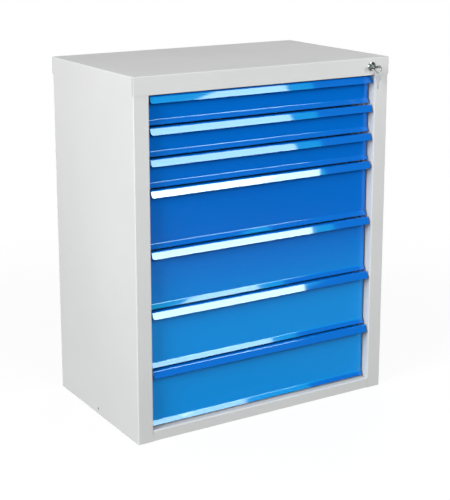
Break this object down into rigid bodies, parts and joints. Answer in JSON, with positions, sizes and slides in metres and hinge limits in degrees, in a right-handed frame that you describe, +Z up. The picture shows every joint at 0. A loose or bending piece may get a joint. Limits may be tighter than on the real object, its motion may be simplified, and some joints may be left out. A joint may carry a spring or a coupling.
{
  "type": "drawer cabinet",
  "caption": "Free-standing sheet-steel cabinet with lipped blue drawers on telescopic slides, a grey casing and one central lock with its keys.",
  "frame": {"origin": "middle of the underside, on the floor", "axes": "+X to the right as one faces the drawers, +Y to the rear, +Z up"},
  "size_m": [0.66, 0.4235, 0.8],
  "materials": {
    "grey_paint": "light grey powder coat, smooth, semi-gloss",
    "blue_paint": "azure blue powder coat, glossy",
    "tray_paint": "light grey powder coat, semi-gloss",
    "zinc_steel": "bright zinc plated sheet steel",
    "chrome": "polished chrome",
    "nickel_key": "nickel plated, worn bright",
    "ring_wire": "bright steel wire",
    "nylon": "natural nylon, matt"
  },
  "bodies": {
    "cabinet": {"side_panel_left": "grey_paint", "side_panel_right": "grey_paint", "back_panel": "grey_paint", "top_cover": "grey_paint", "base_pan": "grey_paint", "bottom_rail": "grey_paint", "front_post_left": "grey_paint", "front_post_right": "grey_paint", "rear_post_left": "grey_paint", "rear_post_right": "grey_paint", "frame_rivets": "zinc_steel", "lock_housing": "chrome", "lock_nut": "zinc_steel", "lock_bar_guides": "nylon", "outer_rails_1": "zinc_steel", "outer_rails_2": "zinc_steel", "outer_rails_3": "zinc_steel", "outer_rails_4": "zinc_steel", "outer_rails_5": "zinc_steel", "outer_rails_6": "zinc_steel", "outer_rails_7": "zinc_steel"},
    "drawer_1": {"drawer_front_1": "blue_paint", "drawer_tray_1": "tray_paint", "inner_rails_1": "zinc_steel"},
    "slide_middle_1": {"middle_rails_1": "zinc_steel"},
    "drawer_2": {"drawer_front_2": "blue_paint", "drawer_tray_2": "tray_paint", "inner_rails_2": "zinc_steel"},
    "slide_middle_2": {"middle_rails_2": "zinc_steel"},
    "drawer_3": {"drawer_front_3": "blue_paint", "drawer_tray_3": "tray_paint", "inner_rails_3": "zinc_steel"},
    "slide_middle_3": {"middle_rails_3": "zinc_steel"},
    "drawer_4": {"drawer_front_4": "blue_paint", "drawer_tray_4": "tray_paint", "inner_rails_4": "zinc_steel"},
    "slide_middle_4": {"middle_rails_4": "zinc_steel"},
    "drawer_5": {"drawer_front_5": "blue_paint", "drawer_tray_5": "tray_paint", "inner_rails_5": "zinc_steel"},
    "slide_middle_5": {"middle_rails_5": "zinc_steel"},
    "drawer_6": {"drawer_front_6": "blue_paint", "drawer_tray_6": "tray_paint", "inner_rails_6": "zinc_steel"},
    "slide_middle_6": {"middle_rails_6": "zinc_steel"},
    "drawer_7": {"drawer_front_7": "blue_paint", "drawer_tray_7": "tray_paint", "inner_rails_7": "zinc_steel"},
    "slide_middle_7": {"middle_rails_7": "zinc_steel"},
    "lock_cylinder": {"lock_plug": "chrome", "lock_cam": "zinc_steel"},
    "lock_bar": {"lock_bar": "zinc_steel", "lock_bar_teeth": "zinc_steel", "lock_bar_head": "zinc_steel"},
    "key": {"key": "nickel_key"},
    "key_ring": {"key_ring": "ring_wire"},
    "spare_key": {"spare_key": "nickel_key"}
  },
  "joints": [
    {"name": "drawer_1_slide", "type": "slide", "parent": "cabinet", "child": "drawer_1", "axis": [0, -1, 0], "range_m": [0, 0.33]},
    {"name": "middle_1_slide", "type": "slide", "parent": "cabinet", "child": "slide_middle_1", "axis": [0, -1, 0], "range_m": [0, 0.165]},
    {"name": "drawer_2_slide", "type": "slide", "parent": "cabinet", "child": "drawer_2", "axis": [0, -1, 0], "range_m": [0, 0.33]},
    {"name": "middle_2_slide", "type": "slide", "parent": "cabinet", "child": "slide_middle_2", "axis": [0, -1, 0], "range_m": [0, 0.165]},
    {"name": "drawer_3_slide", "type": "slide", "parent": "cabinet", "child": "drawer_3", "axis": [0, -1, 0], "range_m": [0, 0.33]},
    {"name": "middle_3_slide", "type": "slide", "parent": "cabinet", "child": "slide_middle_3", "axis": [0, -1, 0], "range_m": [0, 0.165]},
    {"name": "drawer_4_slide", "type": "slide", "parent": "cabinet", "child": "drawer_4", "axis": [0, -1, 0], "range_m": [0, 0.33]},
    {"name": "middle_4_slide", "type": "slide", "parent": "cabinet", "child": "slide_middle_4", "axis": [0, -1, 0], "range_m": [0, 0.165]},
    {"name": "drawer_5_slide", "type": "slide", "parent": "cabinet", "child": "drawer_5", "axis": [0, -1, 0], "range_m": [0, 0.33]},
    {"name": "middle_5_slide", "type": "slide", "parent": "cabinet", "child": "slide_middle_5", "axis": [0, -1, 0], "range_m": [0, 0.165]},
    {"name": "drawer_6_slide", "type": "slide", "parent": "cabinet", "child": "drawer_6", "axis": [0, -1, 0], "range_m": [0, 0.33]},
    {"name": "middle_6_slide", "type": "slide", "parent": "cabinet", "child": "slide_middle_6", "axis": [0, -1, 0], "range_m": [0, 0.165]},
    {"name": "drawer_7_slide", "type": "slide", "parent": "cabinet", "child": "drawer_7", "axis": [0, -1, 0], "range_m": [0, 0.33]},
    {"name": "middle_7_slide", "type": "slide", "parent": "cabinet", "child": "slide_middle_7", "axis": [0, -1, 0], "range_m": [0, 0.165]},
    {"name": "lock_turn", "type": "hinge", "parent": "cabinet", "child": "lock_cylinder", "pos_m": [0.2795, -0.2, 0.78], "axis": [0, 1, 0], "range_deg": [0, 90]},
    {"name": "lock_bar_slide", "type": "slide", "parent": "cabinet", "child": "lock_bar", "axis": [0, 0, -1], "range_m": [0, 0.008]},
    {"name": "key_pull", "type": "slide", "parent": "lock_cylinder", "child": "key", "axis": [0, -1, 0], "range_m": [0, 0.03]},
    {"name": "key_ring_hang", "type": "hinge", "parent": "key", "child": "key_ring", "pos_m": [0.29, -0.2125, 0.78], "axis": [0, 1, 0], "range_deg": [-90, 0]},
    {"name": "spare_key_swing", "type": "hinge", "parent": "key_ring", "child": "spare_key", "pos_m": [0.29, -0.2125, 0.7662], "axis": [-1, 0, 0], "range_deg": [0, 40]}
  ],
  "couplings": [
    {"joint": "middle_1_slide", "follows": "drawer_1_slide", "ratio": 0.5},
    {"joint": "middle_2_slide", "follows": "drawer_2_slide", "ratio": 0.5},
    {"joint": "middle_3_slide", "follows": "drawer_3_slide", "ratio": 0.5},
    {"joint": "middle_4_slide", "follows": "drawer_4_slide", "ratio": 0.5},
    {"joint": "middle_5_slide", "follows": "drawer_5_slide", "ratio": 0.5},
    {"joint": "middle_6_slide", "follows": "drawer_6_slide", "ratio": 0.5},
    {"joint": "middle_7_slide", "follows": "drawer_7_slide", "ratio": 0.5},
    {"joint": "lock_turn", "follows": "lock_bar_slide", "rad_per_m": 196.35},
    {"joint": "key_ring_hang", "follows": "lock_bar_slide", "rad_per_m": -196.35}
  ]
}
